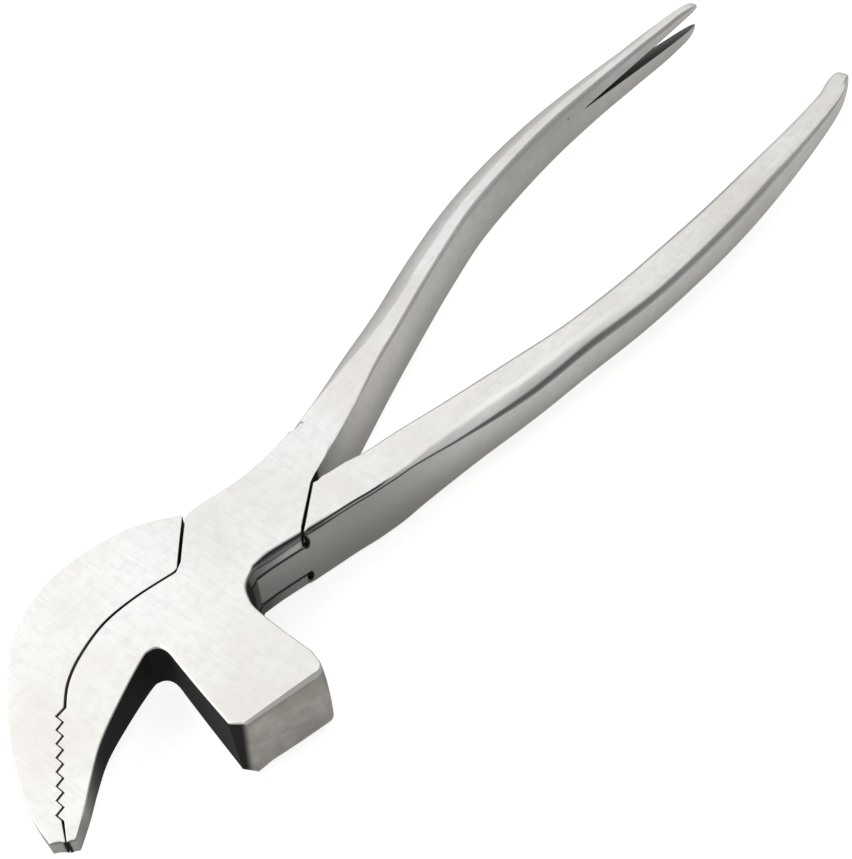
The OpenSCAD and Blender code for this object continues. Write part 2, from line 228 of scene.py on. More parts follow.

# Which rows of a plate's edge carry each mark, counted from the widest height of its wall; the crease, band and gap
# marks carry painted shade, the ridge mark a painted highlight, and the first mark the rounded edge's rows, polished,
# with painted shade on the flank
markRows = {"edgeWearAndShade": (4, 12), "gap": (0, 7), "crease": (5, 7), "band": (3, 8), "ridge": (9, 11)}
markLabels = ("edgeWearAndShade", "gap", "crease", "ridge")
plateGrid = {"step": 1.5, "row": 0.87, "margin": 0.55, "rungStep": 0.7, "leastRung": 0.35, "tuckIn": 0.25}


class Rim:
    # closed outline, anticlockwise, with half heights and edges at each point
    def __init__(self):
        self.points, self.half, self.top, self.under, self.rung, self.gap, self.lines = [], [], [], [], [], [], []
        self.ways = {}

    def add(self, point, top, under=None, half=None, rung=-1, lines=(0, 0, 0), way=None):
        point = np.array(point, float)
        if self.points and np.hypot(*(point - self.points[-1])) < leastStep:
            return
        self.points.append(point)
        self.half.append(float(halfThickness(*point)) if half is None else half)
        self.top.append(tuple(top) + (0, 0) if len(top) == 4 else top)
        under = top if under is None else under
        self.under.append(tuple(under) + (0, 0) if len(under) == 4 else under)
        self.rung.append(rung)
        self.lines.append(lines)
        if way is not None:
            self.ways[len(self.points) - 1] = np.array(way, float)
        self.gap.append(1.0 if top == headEdges["seam"] else 0.0)

    def line(self, points, edge, under=None, spacing=1.1, start=True, end=True):
        # straight stretches between the points, with more points along the long ones
        points = [np.array(p, float) for p in points]
        for i, (a, b) in enumerate(zip(points[:-1], points[1:])):
            steps = max(1, round(np.hypot(*(b - a)) / spacing))
            for k in range(steps):
                if start or i or k:
                    self.add(a + (b - a) * k / steps, headEdges[edge], headEdges[under or edge])
        if end:
            self.add(points[-1], headEdges[edge], headEdges[under or edge])

    def arrays(self):
        return (np.array(v, float) for v in (self.points, self.half, self.top, self.under, self.rung))


def edgeAt(table, x):
    table = np.array(table)
    values = tuple(float(np.interp(x, table[:, 0], table[:, k])) for k in range(1, table.shape[1]))
    return values + (0.0, 0.0) if len(values) == 4 else values


def handleSides(rows, length, start, steps=6):
    # stations of a handle: both sides, half width, half height
    rows = rows.copy()
    rows[:, 0] *= length
    path = curve(rows, steps)
    stations = []
    for i, row in enumerate(path):
        way = path[min(i + 1, len(path) - 1), :2] - path[max(i - 1, 0), :2]
        way /= np.hypot(*way)
        across = np.array([-way[1], way[0]]) * row[2]
        if row[0] > start:
            stations.append((row[0], row[:2] - across, row[:2] + across, row[2], row[3]))
    return stations


def scaled(edge, share):
    return tuple(v * share for v in edge)


def between(one, other, t):
    return tuple(np.interp(t, [0, 1], pair) for pair in zip(one, other))


def fitted(one, other, width):
    # edges of the two sides, kept from crossing over the top
    total = one[0] + one[3] + other[0] + other[3]
    keep = min(1, 1.95 * width / total)
    scale = (keep, 1, 1, keep, keep, 1)
    return tuple(v * k for v, k in zip(one, scale)), tuple(v * k for v, k in zip(other, scale))


def addHandle(rim, stations, edges):
    fits = []
    for x, _, _, width, half in stations:
        top = fitted(edgeAt(edges["right"], x), edgeAt(edges["left"], x), width)
        under = fitted(edgeAt(edges["under"], x), edgeAt(edges["left"], x), width)
        four = []
        for k, edge in enumerate((*top, *under)):
            waist = top[k % 2][5]
            room = 0.92 * half - waist if k < 2 else 0.92 * half + waist
            four.append((edge[0], min(edge[1], room), *edge[2:5], waist))
        fits.append(four)
    for k, (x, a, _, _, half) in enumerate(stations):
        lines = (edgeAt(edges["crease"], x)[0], edgeAt(edges["ridge"], x)[0], 0)
        rim.add(a, fits[k][0], fits[k][2], half, k, lines)
    for k in range(len(stations) - 1, -1, -1):
        x, _, b, _, half = stations[k]
        rim.add(b, fits[k][1], fits[k][3], half, k, (0, 0, edgeAt(edges["band"], x)[0]))


def edgeRows(half, edge, side):
    # rows of (distance inwards, height) from the widest height of the wall to just inside the flat
    inward, down, low, high, tuck, waist = edge.T
    base = waist * side
    tall = half - down - base
    run = np.hypot(inward - tuck, down)
    low = np.minimum(low, np.minimum(0.8 * tall, 0.5 * run))
    high = np.minimum(high, 0.5 * run)
    ux, uz = (inward - tuck) / run, down / run
    rows = [(0 * half, base)]
    for t in (0.35, 0.7, 0.93):
        rows.append((tuck * (t * (1 - low / tall)) ** leanPower, base + t * (tall - low)))
    for t in np.linspace(0, 1, 5):
        a, b, c = (1 - t) ** 2, 2 * t * (1 - t), t * t
        inwards = a * tuck * (1 - low / tall) ** leanPower + b * tuck + c * (tuck + low * ux)
        rows.append((inwards, base + tall - a * low + c * low * uz))
    for t in np.linspace(0, 1, 5):
        a, b, c = (1 - t) ** 2, 2 * t * (1 - t), t * t
        inwards = a * (inward - high * ux) + b * inward + c * (inward + high)
        rows.append((inwards, a * (half - high * uz) + (b + c) * half))
    return rows


def insideLoop(points, loop, margin):
    # which points lie inside a closed loop and away from its edge
    a, b = loop, np.roll(loop, -1, axis=0)
    x, y = points[:, :1], points[:, 1:]
    rise = b[:, 1] - a[:, 1] + 1e-12
    crosses = ((a[:, 1] > y) != (b[:, 1] > y)) & (x < (b[:, 0] - a[:, 0]) * (y - a[:, 1]) / rise + a[:, 0])
    way = b - a
    t = np.clip(((points[:, None] - a) * way).sum(-1) / (way**2).sum(-1), 0, 1)
    gap = np.linalg.norm(points[:, None] - (a + t[..., None] * way), axis=-1).min(1)
    return (crosses.sum(1) % 2 == 1) & (gap > margin)


def onRow(mark, row):
    return markRows[mark][0] <= row <= markRows[mark][1]


def acrossHandle(loop, heights, rung):
    # points on the rungs between a handle's two sides, with their heights
    pairs, inner, levels = {}, [], []
    for i, place in enumerate(rung):
        if place >= 0:
            pairs.setdefault(int(place), []).append(i)
    for place, station in pairs.items():
        if len(station) == 2 and place < rung.max():  # the last one is the outline's own end
            a, b = loop[station[0]], loop[station[1]]
            wide = np.hypot(*(b - a))
            steps = max(2, min(6, round(wide / plateGrid["rungStep"])))
            for n in range(1, steps if wide > plateGrid["leastRung"] else 1):
                t = n / steps
                inner.append(a + (b - a) * t)
                levels.append(heights[station[0]] * (1 - t) + heights[station[1]] * t)
    return inner, levels


def roundedPlate(name, rim):
    # closed plate from a rim: wall, rounded edges and a top that follows the taper and the handle's height
    points, half, top, under, rung = rim.arrays()
    seam, lines = np.array(rim.gap), np.array(rim.lines, float)
    before, after = points - np.roll(points, 1, axis=0), np.roll(points, -1, axis=0) - points
    normals = [np.column_stack([-v[:, 1], v[:, 0]]) / np.linalg.norm(v, axis=1)[:, None] for v in (before, after)]
    dot = np.clip((normals[0] * normals[1]).sum(1), -0.2, 1)
    inwards = (normals[0] + normals[1]) / (1 + dot)[:, None]
    inwards *= np.minimum(1, 1.7 / np.linalg.norm(inwards, axis=1))[:, None]
    for place, way in rim.ways.items():
        inwards[place] = way
    count = len(points)
    upper, lower = edgeRows(half, top, 1), edgeRows(half, under, -1)
    rows = [(d, -z) for d, z in lower[::-1]] + upper[1:]
    verts, faces, crossings = [], [], []
    marks = {label: [] for label in markLabels}
    for k, (d, z) in enumerate(rows):
        place = k - len(lower) + 1
        level = abs(place)
        flat = points + inwards * np.asarray(d)[:, None]
        height = z
        if level == len(lower) - 1:  # inside the flat, so it follows the taper exactly
            extra = np.where(rung < 0, np.minimum(plateGrid["tuckIn"], 0.8 * top[:, 0]), 0.0)
            flat = flat + inwards * extra[:, None]
            height = np.where(rung < 0, np.sign(z) * halfThickness(flat[:, 0], flat[:, 1]), z)
        elif level > 3:
            shift = halfThickness(flat[:, 0], flat[:, 1]) - halfThickness(points[:, 0], points[:, 1])
            height = z + np.sign(z) * np.where(rung < 0, shift, 0)
        verts += [(p[0], p[1], h) for p, h in zip(flat, height)]
        # painted dark lines on the crease, band and negative ridge rows, painted highlight on the positive ridge rows
        dark = np.maximum(lines[:, 0] * onRow("crease", place), -lines[:, 1] * onRow("ridge", place))
        marks["edgeWearAndShade"] += [float(onRow("edgeWearAndShade", level))] * count
        marks["gap"] += list(seam * onRow("gap", level))
        marks["crease"] += list(np.maximum(dark, lines[:, 2] * onRow("band", place)))
        marks["ridge"] += list(lines[:, 1] * onRow("ridge", place))
    for k in range(len(rows) - 1):
        for i in range(count):
            j = (i + 1) % count
            faces.append((k * count + i, k * count + j, (k + 1) * count + j, (k + 1) * count + i))
    for k, sign in ((len(rows) - 1, 1), (0, -1)):
        loop = np.array([verts[k * count + i][:2] for i in range(count)])
        heights = [verts[k * count + i][2] for i in range(count)]
        inner, levels = acrossHandle(loop, heights, rung)
        handleFrom = loop[rung == 0][:, 0].min() - 0.6 if rung.max() >= 0 else math.inf
        lo, hi = loop.min(0), loop.max(0)
        step, row = plateGrid["step"], plateGrid["row"]
        across, up = int((min(hi[0], handleFrom) - lo[0]) / step) + 1, int((hi[1] - lo[1]) / step / row) + 2
        grid = np.array([
            (lo[0] + step * (c + 0.5 * (r % 2)), lo[1] + step * row * r) for r in range(up) for c in range(across)
        ])
        grid = grid[grid[:, 0] < handleFrom]
        grid = grid[insideLoop(grid, loop, plateGrid["margin"])]
        inner += list(grid)
        levels += list(sign * halfThickness(grid[:, 0], grid[:, 1]))
        flatPoints = [Vector(p) for p in loop] + [Vector(p) for p in inner]
        out = delaunay_2d_cdt(flatPoints, [], [list(range(count))], 1, 1e-6)
        ids = []
        for spot, origin in zip(out[0], out[3]):
            if origin and origin[0] < count:
                ids.append(k * count + origin[0])
                continue
            if not origin:
                crossings.append(tuple(spot))
            ids.append(len(verts))
            verts.append((spot[0], spot[1], levels[origin[0] - count] if origin else heights[0]))
            for values in marks.values():
                values.append(0.0)
        for face in out[2]:
            corners = [ids[v] for v in face]
            if len(set(corners)) > 2:
                faces.append(tuple(corners if sign > 0 else corners[::-1]))
    if crossings:
        print("outline crosses itself in", name, crossings[:4])
    mesh = bpy.data.meshes.new(name)
    places = np.array(verts)
    places = leaned(places) if name == "hammerPlate" else places
    places[:, 2] += middle
    mesh.from_pydata((places * mm).tolist(), [], faces)
    for label, values in marks.items():
        mesh.attributes.new(label, "FLOAT", "POINT").data.foreach_set("value", values)
    return placed(name, mesh)


def leaned(places):
    # lean and crown of the striking face
    depth = (faceMiddle - places[:, :2]) @ faceOut
    along = (places[:, :2] - faceMiddle) @ faceAlong
    near = (places[:, 0] < -side + 2) & (places[:, 0] > leftCorner[0] - 6) & (places[:, 1] < -11)
    weight = np.where(near, np.clip(1 - depth / hammerSizes["blend"], 0, 1), 0)
    move = -places[:, 2] * math.tan(math.radians(hammerSizes["lean"])) * weight
    wide, tall = hammerSizes["crownSpan"]
    high = np.clip(1 - (places[:, 2] / tall) ** 2, 0, 1) * np.clip(1 - (along / wide) ** 2, 0, 1)
    move = move + np.where(near & (depth < 0.6), hammerSizes["crown"] * high, 0)
    bulge = hammerSizes["bulge"] * np.clip(1 - (places[:, 2] / 6.6) ** 2, 0, 1) * np.clip((along - 6.0) / 1.5, 0, 1)
    bulge = np.where(near, bulge * np.clip((-17 - places[:, 1]) / 7, 0, 1), 0)
    places = places.copy()
    places[:, :2] += faceOut * move[:, None] + faceAlong * bulge[:, None]
    return places


def placed(name, data):
    obj = bpy.data.objects.new(name, data)
    bpy.context.scene.collection.objects.link(obj)
    return obj


def marked(mesh, gap=0.0):
    # the marks that the steel reads, for what a cut or a joined block leaves; the gap mark sets the painted shade on
    # its faces
    for label in markLabels:
        values = [gap if label == "gap" else 0.0] * len(mesh.vertices)
        mesh.attributes.new(label, "FLOAT", "POINT").data.foreach_set("value", values)


def prism(name, outline, low, high, matrix=None, gap=0.0):
    # upright prism from an outline, heights in millimetres
    outline = np.array(outline, float)
    x, y = outline.T
    if (x * np.roll(y, -1) - y * np.roll(x, -1)).sum() < 0:
        outline = outline[::-1]
    n = len(outline)
    verts = [(*p, low) for p in outline] + [(*p, high) for p in outline]
    faces = [tuple(range(n - 1, -1, -1)), tuple(range(n, 2 * n))]
    faces += [(i, (i + 1) % n, n + (i + 1) % n, n + i) for i in range(n)]
    mesh = bpy.data.meshes.new(name)
    mesh.from_pydata([tuple(mm * c for c in v) for v in verts], [], faces)
    marked(mesh, gap)
    if matrix is not None:
        mesh.transform(matrix)
    return placed(name, mesh)


def plainMesh(obj):
    # turns an object's modifiers into its mesh
    graph = bpy.context.evaluated_depsgraph_get()
    mesh = bpy.data.meshes.new_from_object(obj.evaluated_get(graph), preserve_all_data_layers=True, depsgraph=graph)
    obj.modifiers.clear()
    obj.data = mesh


def combine(obj, tool, operation="DIFFERENCE"):
    # one boolean, after which the tool is gone
    step = obj.modifiers.new("boolean", "BOOLEAN")
    step.operation, step.object = operation, tool
    step.solver = "MANIFOLD" if "MANIFOLD" in step.bl_rna.properties["solver"].enum_items else "EXACT"
    plainMesh(obj)
    bpy.data.objects.remove(tool)


def together(name, outlines, low, high, gap=0.0):
    # one block from outlines that overlap
    obj = prism(name, outlines[0], low, high, gap=gap)
    for outline in outlines[1:]:
        combine(obj, prism("part", outline, low, high, gap=gap), "UNION")
    return obj


def arc(radius, start, end, steps):
    return [radius * unit(start + (end - start) * k / steps) for k in range(steps + 1)]


def jointDisc(play, extra):
    # round middle of the tongue with the lobe that stops it
    start, end = jointSizes["lobe"][0] - extra, jointSizes["lobe"][1]
    big, small = jointSizes["radius"] + play, jointSizes["radius"] - jointSizes["step"] + play
    return arc(big, start, end, 84) + arc(small, end, start + 360, 24)


def addNode(tree, kind, settings, wires):
    # any node: its settings first, then the values or links of its sockets
    node = tree.nodes.new(kind)
    for key, value in (settings or {}).items():
        setattr(node, key, value)
    for key, value in (wires or {}).items():
        if isinstance(value, bpy.types.NodeSocket):
            tree.links.new(value, node.inputs[key])
        else:
            node.inputs[key].default_value = value
    return node


# Tooth row: one zigzag strip with its teeth made by rule, cut from a jaw
toothSizes = {"overcut": 2.2, "height": 20.0, "below": 3}


def toothRowTree():
    tree = bpy.data.node_groups.new("toothRow", "GeometryNodeTree")
    sockets = {}
    for name, kind, value in (
        ("Count", "NodeSocketInt", 7), ("Pitch", "NodeSocketFloat", 0.002), ("Depth", "NodeSocketFloat", 0.001),
        ("Overcut", "NodeSocketFloat", 0.002), ("Height", "NodeSocketFloat", 0.02),
        ("Material", "NodeSocketMaterial", None),
    ):
        socket = tree.interface.new_socket(name, in_out="INPUT", socket_type=kind)
        if value is not None:
            socket.default_value = value
        sockets[name] = socket.identifier
    tree.interface.new_socket("Geometry", in_out="OUTPUT", socket_type="NodeSocketGeometry")

    def add(kind, settings=None, wires=None):
        return addNode(tree, kind, settings, wires)

    def maths(operation, a, b):
        return add("ShaderNodeMath", {"operation": operation}, {0: a, 1: b}).outputs[0]

    given = tree.nodes.new("NodeGroupInput").outputs
    corners = maths("ADD", maths("MULTIPLY", given["Count"], 2.0), 1.0)
    length = maths("MULTIPLY", given["Count"], given["Pitch"])
    strip = add("GeometryNodeMeshGrid", {}, {
        "Size X": length, "Size Y": given["Overcut"], "Vertices X": corners, "Vertices Y": 2,
    })
    place = add("ShaderNodeSeparateXYZ", {}, {0: add("GeometryNodeInputPosition").outputs[0]}).outputs
    halfLength, halfCut = maths("MULTIPLY", length, 0.5), maths("MULTIPLY", given["Overcut"], 0.5)
    fromStart = maths("DIVIDE", maths("ADD", place[0], halfLength), maths("MULTIPLY", given["Pitch"], 0.5))
    odd = maths("MODULO", maths("ROUND", fromStart, 0.0), 2.0)
    isTooth = maths("LESS_THAN", place[1], 0.0)
    lift = maths("MULTIPLY", maths("MULTIPLY", odd, isTooth), maths("MULTIPLY", given["Depth"], -1.0))
    offset = add("ShaderNodeCombineXYZ", {}, {0: halfLength, 1: maths("ADD", lift, halfCut)})
    zigzag = add("GeometryNodeSetPosition", {}, {"Geometry": strip.outputs["Mesh"], "Offset": offset.outputs[0]})
    upwards = add("ShaderNodeCombineXYZ", {}, {2: given["Height"]})
    raised = add("GeometryNodeExtrudeMesh", {"mode": "FACES"}, {
        "Mesh": zigzag.outputs[0], "Offset": upwards.outputs[0], "Offset Scale": 1.0, "Individual": False,
    })
    bottom = add("GeometryNodeFlipFaces", {}, {"Mesh": zigzag.outputs[0]})
    joined = add("GeometryNodeJoinGeometry")
    for part in (raised, bottom):
        tree.links.new(part.outputs["Mesh"], joined.inputs[0])
    welded = add("GeometryNodeMergeByDistance", {}, {"Geometry": joined.outputs[0], "Distance": 1e-6})
    real = add("GeometryNodeRealizeInstances", {}, {"Geometry": welded.outputs[0]})
    finished = add("GeometryNodeSetMaterial", {}, {"Geometry": real.outputs[0], "Material": given["Material"]})
    add("NodeGroupOutput", {}, {0: finished.outputs[0]})
    return tree, sockets


def toothCutter(name, flip, shift):
    # everything on one side of the toothed seam, for one jaw
    obj = placed(name, bpy.data.meshes.new(name))
    step = obj.modifiers.new("teeth", "NODES")
    step.node_group = toothTree
    values = {
        "Count": jawSizes["count"], "Pitch": jawSizes["pitch"] * mm,
        "Depth": (-1 if flip else 1) * jawSizes["depth"] * mm,
        "Overcut": toothSizes["overcut"] * mm, "Height": toothSizes["height"] * mm,
    }
    for key, value in values.items():
        step[toothSockets[key]] = value
    plainMesh(obj)
    turn = Matrix.Rotation(math.radians(jawSizes["direction"]), 4, "Z")
    start = firstTooth + shift
    if flip:
        obj.data.transform(Matrix.Diagonal((1, -1, 1, 1)))
        obj.data.flip_normals()
    # the strip lies on the far side from the teeth: away from toothAcross, or towards it when flipped
    turned = Matrix.Translation((start[0] * mm, start[1] * mm, -toothSizes["below"] * mm)) @ turn
    turned = turned @ Matrix.Rotation(math.pi, 4, "X")
    obj.data.transform(turned @ Matrix.Translation((0, 0, -toothSizes["height"] * mm)))
    marked(obj.data, 1.0)
    return obj


def finishShape(obj):
    # merged, smooth, with hard edges only where the steel has them
    mesh = obj.data
    work = bmesh.new()
    work.from_mesh(mesh)
    bmesh.ops.remove_doubles(work, verts=work.verts, dist=weldDistance)
    bmesh.ops.dissolve_degenerate(work, edges=work.edges, dist=thinDistance)
    for face in work.faces:
        face.smooth = True
    for edge in work.edges:
        edge.smooth = len(edge.link_faces) == 2 and edge.calc_face_angle(0) < math.radians(hardAngle)
    work.to_mesh(mesh)
    work.free()
    weigh = obj.modifiers.new("weigh", "WEIGHTED_NORMAL")
    weigh.keep_sharp = True
    plainMesh(obj)


toothTree, toothSockets = toothRowTree()
print("tooth row rule made")

# Half with the cheeks, the inner jaw, the hammer and the forked handle
rim = Rim()
rim.line([frontSeam[0], frontSeam[1]], "seam", end=False)
rim.line(throat, "seam", spacing=2)
rim.line([firstTooth, toothEnd], "seam")
rim.line([lipStart, lipEnd], "seam")
rim.line([lipEnd, innerTip], "tip", spacing=0.7, start=False)
rim.line(notchWall[1:], "belly", spacing=2)
faceGrow = (0.7, 1.15)
for share in (0, 0.19, 0.38, 0.57, 0.75):  # clear of the corners, where the rounding needs room
    grow = np.interp(share, [0, 1], faceGrow)
    rim.add(faceLeft + (faceRight - faceLeft) * share, scaled(headEdges["face"], grow),
            headEdges["faceUnder"] if share else headEdges["sideUnder"])
turnIn, turnOut = faceRight - faceAlong * hammerSizes["corner"], faceRight + (rightCorner - faceRight) * 0.5
for t in (0, 0.2, 0.4, 0.6, 0.8, 1):  # the rounded corner towards the joint
    spot = turnIn * (1 - t) ** 2 + faceRight * 2 * t * (1 - t) + turnOut * t * t
    rim.add(spot, between(scaled(headEdges["face"], faceGrow[1]), headEdges["belly"], t),
            between(headEdges["faceUnder"], headEdges["sideUnder"], t))
rim.line(hammerBack[1:-2], "belly", spacing=2)
for point in [p for p in rightFlank if p[0] < 3]:
    grow = np.interp(point[0], [-4.6, -2, 3.6], [.5, 1, .75])
    rim.add(point, scaled(headEdges["flank"], grow), headEdges["sideUnder"], lines=flankLines["cheek"])
seamWay = (rearSeam[1] - rearSeam[0]) / np.hypot(*(rearSeam[1] - rearSeam[0]))
flankOut = np.array([-0.26, -0.966])
cornerWay = -seamWay / (seamWay @ flankOut)  # the corner is set in along the seam
rim.add(rearSeam[0], scaled(headEdges["flank"], .75), headEdges["sideUnder"], lines=flankLines["cheek"], way=cornerWay)
rim.line([[5.25, -7.345], *rearSeam[2:]], "seam", spacing=1.5)
rim.line([[14.3, -2.15], [17.5, -1.25]], "seam", spacing=1.2)
rim.gap[-3:] = [0.0] * 3  # no gap between the handles
addHandle(rim, handleSides(forkRows, forkSizes["length"], 19.4), forkEdges)
rim.line([p for p in leftFlank[1:-1] if p[0] < 18.6], "leftFlank", spacing=2)
hammerHalf = roundedPlate("hammerPlate", rim)

low = middle - jointSizes["tongue"] / 2 - jointSizes["joint"]
high = middle + jointSizes["tongue"] / 2 + jointSizes["joint"]
roomFront = [[0, 0], seamCorner, [-14, 9], [-4, 14], [1, 10]]
roomRear = [[0, 0], crotch, [18, -9], [4, -16], [-4.4, -14], rightFlank[0] + [0.1, -0.1]]
roomDisc = jointDisc(jointSizes["mortisePlay"], jointSizes["open"] + 1)
combine(hammerHalf, together("room", [roomDisc, roomFront, roomRear], low, high, 1.0))


def rivetHole(name, extra, around=96):
    # round hole with a countersink at each face
    r, wide = jointSizes["rivet"] / 2 + extra, jointSizes["rivetHead"] / 2 + extra
    sink, full = jointSizes["sink"], headSizes["thickness"]
    work = bmesh.new()
    levels = [(wide + 1, -1), (wide, 0), (r, sink), (r, full - sink), (wide, full), (wide + 1, full + 1)]
    ways = [unit(360 * k / around) for k in range(around)]
    rings = [[work.verts.new((*(q * way * mm), z * mm)) for way in ways] for q, z in levels]
    for a, b in zip(rings[:-1], rings[1:]):
        for k in range(around):
            j = (k + 1) % around
            work.faces.new((a[k], a[j], b[j], b[k]))
    work.faces.new(rings[0][::-1])
    work.faces.new(rings[-1])
    mesh = bpy.data.meshes.new(name)
    work.to_mesh(mesh)
    work.free()
    return placed(name, mesh)


def facetCutter(name, corners, depth):
    # block whose one face lies on three points, used to grind a flat on a corner
    a, b, c = (Vector(p) for p in corners)
    along = (b - a).normalized()
    out = along.cross(c - a).normalized()
    if out.y > 0:
        out = -out
    turn = Matrix((along, out.cross(along), out)).transposed().to_4x4()
    square = [(-12, -12), (12, -12), (12, 12), (-12, 12)]
    return prism(name, square, 0, depth, Matrix.Translation(a * mm) @ turn, 0.3)


combine(hammerHalf, facetCutter("cornerFlat", hammerSizes["flat"], 5))
combine(hammerHalf, rivetHole("rivetHole", 0.004))
combine(hammerHalf, toothCutter("innerTeeth", False, np.zeros(2)))
slope = forkSizes["mouth"] / 2 / forkSizes["slot"]
slotPlace = (
    Matrix.Translation(((forkSizes["length"] - forkSizes["slot"]) * mm, forkSizes["y"] * mm, middle * mm))
    @ Matrix.Rotation(math.radians(forkSizes["sideways"]), 4, "Z")
    @ Matrix.Rotation(math.radians(90 - forkSizes["turn"]), 4, "X")
)
slotWedge = [[0, 0], [far, -slope * far], [far, slope * far]]
combine(hammerHalf, prism("forkSlot", slotWedge, -far / 2, far / 2, slotPlace, 0.9))
finishShape(hammerHalf)
hammerHalf.name = "hammerHalf"
print("hammer half shaped", len(hammerHalf.data.polygons), "faces")

# Half with the tongue, the outer jaw and the plain handle
lift = jawSizes["seam"] * unit(115)
rim = Rim()
rim.line(jawBack, "back", spacing=1.2)
lipLift = lift * 0.3
rim.line([outerTip, lipEnd + lipLift], "tip", spacing=0.75, start=False, end=False)
rim.line([lipEnd + lipLift, lipStart + lift, toothEnd + lift], "seam")
topOfTeeth = [p * (jawSizes["pitch"] / 2 - 0.15) * toothAlong + jawSizes["depth"] * toothAcross + lift for p in (-1, 1)]
overTeeth = [toothEnd + lift, toothEnd + topOfTeeth[0], firstTooth + topOfTeeth[1], firstTooth + lift]
rim.line(overTeeth, "seam", start=False)
rim.line((throat + lift)[::-1], "seam", spacing=2)
rim.line([frontSeam[1] + [-0.3, 0.35], frontSeam[0] + [-0.3, 0.35]], "seam")
jawHalf = roundedPlate("outerJaw", rim)

apart = jointSizes["shoulderGap"] * unit(-57)
rim = Rim()
rim.add([4.8, -8.75], headEdges["shoulder"], lines=flankLines["corner"], way=cornerWay)
for point in [p for p in rightFlank if 6.3 < p[0] < 19.5]:
    rim.add(point, headEdges["shoulder"], edgeAt(plainEdges["under"], point[0]), lines=flankLines["shoulder"])
addHandle(rim, handleSides(plainRows, plainSizes["length"], 20.2), plainEdges)
rim.line([[18.6, -4.45], [16, -3.85], crotch + [0.5, -1.15]], "seam", spacing=1.3)
rim.line([crotch + [-0.45, -1.2]], "seam")
rim.line([p + apart for p in rearSeam[::-1] if p[0] > 4], "seam", spacing=1.5)
handlePlate = roundedPlate("handlePlate", rim)
combine(jawHalf, handlePlate, "UNION")

low, high = middle - jointSizes["tongue"] / 2, middle + jointSizes["tongue"] / 2
front = [[0, 0], seamCorner + lift + [0.1, 0], [-14, 5], [-9, 11], jawBack[0]]
rear = [[0, 0], crotch + [-0.4, -0.9], [17, -6], [12, -14], rightFlank[0]]
bounds = [p for p in rightFlank if p[0] < 4.5] + [
    [4.95, -8.76], [5.7, -8.2], [21, -6], [21, 7], [4.5, 7.1], [0, 8], [-4, 12], [-16, 12], [-16, -6],
]
tongue = together("tongue", [jointDisc(0, 0), front, rear], low, high)
combine(tongue, prism("bounds", bounds, low - 1, high + 1), "INTERSECT")
combine(jawHalf, tongue, "UNION")
sill = [[4.97, -7.67], [9.46, -4.8], [9.84, -5.37], [5.34, -8.24]]  # closes the gap under the tongue
combine(jawHalf, prism("sill", sill, 0.4, low + 0.2), "UNION")
step = [[3.8, -8.38], [4.4, -8.0], [9.4, -4.85], [9.9, -5.5], [5.4, -8.74], [5.0, -8.72]]
combine(jawHalf, prism("step", step, 0.5, 1.5), "UNION")
combine(jawHalf, toothCutter("outerTeeth", True, lift))
hole = arc(jointSizes["rivet"] / 2 + jointSizes["rivetPlay"], 0, 356.25, 95)
combine(jawHalf, prism("hole", hole, -1, headSizes["thickness"] + 1))
finishShape(jawHalf)
jawHalf.name = "jawHalf"
print("jaw half shaped", len(jawHalf.data.polygons), "faces")


class Wire:
    # a socket whose arithmetic adds Math nodes
    def __init__(self, bench, socket):
        self.bench, self.socket = bench, socket

    def maths(self, operation, other=None, swapped=False, clamp=False):
        pair = [self] if other is None else [other, self] if swapped else [self, other]
        return self.bench.add("Math", {"operation": operation, "use_clamp": clamp}, dict(enumerate(pair)))

    def __add__(self, other): return self.maths("ADD", other)
    def __radd__(self, other): return self.maths("ADD", other, True)
    def __sub__(self, other): return self.maths("SUBTRACT", other)
    def __rsub__(self, other): return self.maths("SUBTRACT", other, True)
    def __mul__(self, other): return self.maths("MULTIPLY", other)
    def __rmul__(self, other): return self.maths("MULTIPLY", other, True)


class Bench:
    # builds the nodes of one material or world
    def __init__(self, owner):
        self.owner = owner
        owner.use_nodes = True
        self.tree = owner.node_tree
        self.tree.nodes.clear()

    def add(self, kind, settings=None, wires=None, out=0):
        wires = {key: value.socket if isinstance(value, Wire) else value for key, value in (wires or {}).items()}
        node = addNode(self.tree, "ShaderNode" + kind, settings, wires)
        return Wire(self, node.outputs[out]) if len(node.outputs) else node

    def object(self):
        return self.add("TexCoord", out=3)

    def mark(self, label):
        return self.add("Attribute", {"attribute_name": label}, out=2)

    def split(self, vector, axis):
        return self.add("SeparateXYZ", {}, {0: vector}, out=axis)

    def vector(self, operation, *values, out=0):
        return self.add("VectorMath", {"operation": operation}, dict(enumerate(values)), out)

    def noise(self, place, scale, detail=2.0, roughness=0.5, stretch=(1, 1, 1)):
        # noise from 0 to 1, features in millimetres
        at = self.vector("MULTIPLY", place, tuple(s / mm / scale for s in stretch))
        wires = {"Vector": at, "Scale": 1.0, "Detail": detail, "Roughness": roughness}
        return self.add("TexNoise", {}, wires)

    def span(self, value, low, high, toLow=0.0, toHigh=1.0, smooth=True):
        kind = "SMOOTHSTEP" if smooth else "LINEAR"
        wires = {0: value, 1: low, 2: high, 3: toLow, 4: toHigh}
        return self.add("MapRange", {"interpolation_type": kind}, wires)

    def reach(self, value, low, high, toLow=0.0, toHigh=1.0, smooth=True):
        # a span between two distances in millimetres
        return self.span(value, low * mm, high * mm, toLow, toHigh, smooth)

    def mix(self, factor, a, b, blend="MIX"):
        # of two colours, each a wire or three numbers
        a, b = (c if isinstance(c, Wire) else (*c, 1) for c in (a, b))
        return self.add("Mix", {"data_type": "RGBA", "blend_type": blend}, {0: factor, 6: a, 7: b}, out=2)

    def near(self, place, spot, radius, soft=1.0, stretch=(1, 1, 1)):
        # 1 inside a soft ball about a spot in millimetres, 0 outside
        gap = self.vector("SUBTRACT", place, tuple(c * mm for c in spot))
        away = self.vector("LENGTH", self.vector("MULTIPLY", gap, stretch), out=1)
        return self.span(away, radius * (1 - soft) * mm, radius * mm, 1.0, 0.0)
